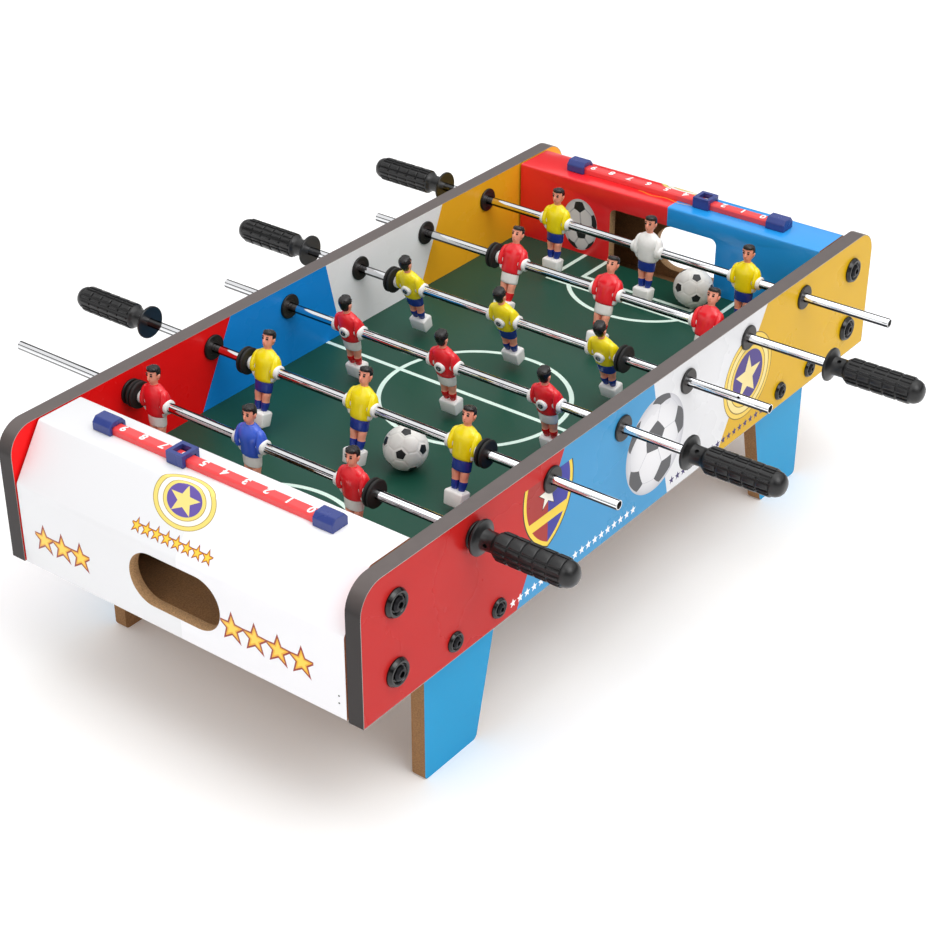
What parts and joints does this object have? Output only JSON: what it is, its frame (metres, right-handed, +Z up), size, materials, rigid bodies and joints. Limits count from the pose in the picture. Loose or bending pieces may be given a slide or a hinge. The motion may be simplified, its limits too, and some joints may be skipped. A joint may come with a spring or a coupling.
{
  "type": "tabletop football table",
  "caption": "Small tabletop football game: open case on four board legs, sliding and spinning rods with moulded players, goals, ball return boxes, score counters.",
  "frame": {"origin": "on the floor under the middle of the whole outline, handles included, with the rods as they stand at rest; the middle line of the case itself lies at Y = 8.65 mm", "axes": "+X along the field from the near (white) goal to the far (red and blue) goal, +Y across the field from the front panel to the back panel, +Z up"},
  "size_m": [0.69, 0.6292, 0.2255],
  "materials": {
    "panel_front": "printed paper foil on fibreboard, satin",
    "panel_back": "printed paper foil on fibreboard, satin",
    "edge_band": "warm grey edge banding, matt",
    "pitch": "dark green printed field on fibreboard, satin",
    "near_box": "white foil on fibreboard, satin",
    "far_box": "red and blue foil on fibreboard, satin",
    "raw_board": "raw medium density fibreboard",
    "leg_board": "sky blue foil on fibreboard, satin",
    "black_screw": "black oxide steel",
    "black_cup": "black moulded plastic, gloss",
    "bushing_plastic": "black moulded nylon, satin",
    "rail_red": "red moulded plastic with white numbers",
    "counter_blue": "blue moulded plastic",
    "chrome_tube": "bright chromium plate on steel tube",
    "bumper_rubber": "black rubber, matt",
    "grip_plastic": "black moulded grip, satin",
    "player_red": "moulded and hand-painted plastic",
    "player_yellow": "moulded and hand-painted plastic",
    "screw_steel": "zinc plated steel",
    "ball_plastic": "white moulded plastic with black printed pentagons"
  },
  "bodies": {
    "table": {"side_panel_front": "panel_front", "side_panel_back": "panel_back", "edge_bands": "edge_band", "pitch_board": "pitch", "near_goal_wall": "near_box", "near_box_top": "near_box", "near_box_slope": "near_box", "near_box_outer": "near_box", "far_goal_wall": "far_box", "far_box_top": "far_box", "far_box_slope": "far_box", "far_box_outer": "far_box", "box_floors": "raw_board", "box_cheeks": "raw_board", "leg_near_front": "leg_board", "leg_near_back": "leg_board", "leg_far_front": "leg_board", "leg_far_back": "leg_board", "leg_screws": "black_screw", "box_screws": "black_screw", "leg_washers": "black_cup", "box_washers": "black_cup", "bushings_front": "bushing_plastic", "bushings_back": "bushing_plastic", "near_score_rail": "rail_red", "far_score_rail": "rail_red", "score_ends": "counter_blue"},
    "rod_1": {"tube_1": "chrome_tube", "bumpers_1": "bumper_rubber"},
    "team_1": {"players_1": "player_red", "handle_1": "grip_plastic", "fixings_1": "screw_steel"},
    "rod_2": {"tube_2": "chrome_tube", "bumpers_2": "bumper_rubber"},
    "team_2": {"players_2": "player_yellow", "handle_2": "grip_plastic", "fixings_2": "screw_steel"},
    "rod_3": {"tube_3": "chrome_tube"},
    "team_3": {"players_3": "player_red", "handle_3": "grip_plastic", "fixings_3": "screw_steel"},
    "rod_4": {"tube_4": "chrome_tube", "bumpers_4": "bumper_rubber"},
    "team_4": {"players_4": "player_yellow", "handle_4": "grip_plastic", "fixings_4": "screw_steel"},
    "rod_5": {"tube_5": "chrome_tube", "bumpers_5": "bumper_rubber"},
    "team_5": {"players_5": "player_red", "handle_5": "grip_plastic", "fixings_5": "screw_steel"},
    "rod_6": {"tube_6": "chrome_tube"},
    "team_6": {"players_6": "player_yellow", "handle_6": "grip_plastic", "fixings_6": "screw_steel"},
    "score_near": {"near_score_slider": "counter_blue"},
    "score_far": {"far_score_slider": "counter_blue"},
    "ball_near": {"ball_near": "ball_plastic"},
    "ball_far": {"ball_far": "ball_plastic"}
  },
  "joints": [
    {"name": "rod_1_slide", "type": "slide", "parent": "table", "child": "rod_1", "axis": [0, 1, 0], "range_m": [-0.0688, 0.0022]},
    {"name": "rod_1_spin", "type": "hinge", "parent": "rod_1", "child": "team_1", "pos_m": [-0.225, 0.04195, 0.194], "axis": [0, 1, 0], "continuous": true},
    {"name": "rod_2_slide", "type": "slide", "parent": "table", "child": "rod_2", "axis": [0, 1, 0], "range_m": [-0.0395, 0.0315]},
    {"name": "rod_2_spin", "type": "hinge", "parent": "rod_2", "child": "team_2", "pos_m": [-0.135, 0.01265, 0.194], "axis": [0, 1, 0], "continuous": true},
    {"name": "rod_3_slide", "type": "slide", "parent": "table", "child": "rod_3", "axis": [0, 1, 0], "range_m": [-0.0376, 0.0472]},
    {"name": "rod_3_spin", "type": "hinge", "parent": "rod_3", "child": "team_3", "pos_m": [-0.045, 0.00385, 0.194], "axis": [0, 1, 0], "continuous": true},
    {"name": "rod_4_slide", "type": "slide", "parent": "table", "child": "rod_4", "axis": [0, 1, 0], "range_m": [-0.0397, 0.0313]},
    {"name": "rod_4_spin", "type": "hinge", "parent": "rod_4", "child": "team_4", "pos_m": [0.045, 0.01285, 0.194], "axis": [0, 1, 0], "continuous": true},
    {"name": "rod_5_slide", "type": "slide", "parent": "table", "child": "rod_5", "axis": [0, 1, 0], "range_m": [-0.0002, 0.0708]},
    {"name": "rod_5_spin", "type": "hinge", "parent": "rod_5", "child": "team_5", "pos_m": [0.135, -0.02665, 0.194], "axis": [0, 1, 0], "continuous": true},
    {"name": "rod_6_slide", "type": "slide", "parent": "table", "child": "rod_6", "axis": [0, 1, 0], "range_m": [-0.0249, 0.0599]},
    {"name": "rod_6_spin", "type": "hinge", "parent": "rod_6", "child": "team_6", "pos_m": [0.225, -0.00885, 0.194], "axis": [0, 1, 0], "continuous": true},
    {"name": "score_near_slide", "type": "slide", "parent": "table", "child": "score_near", "axis": [0, 1, 0], "range_m": [-0.1176, 0.0556]},
    {"name": "score_far_slide", "type": "slide", "parent": "table", "child": "score_far", "axis": [0, 1, 0], "range_m": [-0.0566, 0.1166]},
    {"name": "ball_near_roll", "type": "slide", "parent": "table", "child": "ball_near", "axis": [1, 0, 0], "range_m": [0, 0.008]},
    {"name": "ball_far_roll", "type": "slide", "parent": "table", "child": "ball_far", "axis": [1, 0, 0], "range_m": [0, 0.012]}
  ]
}
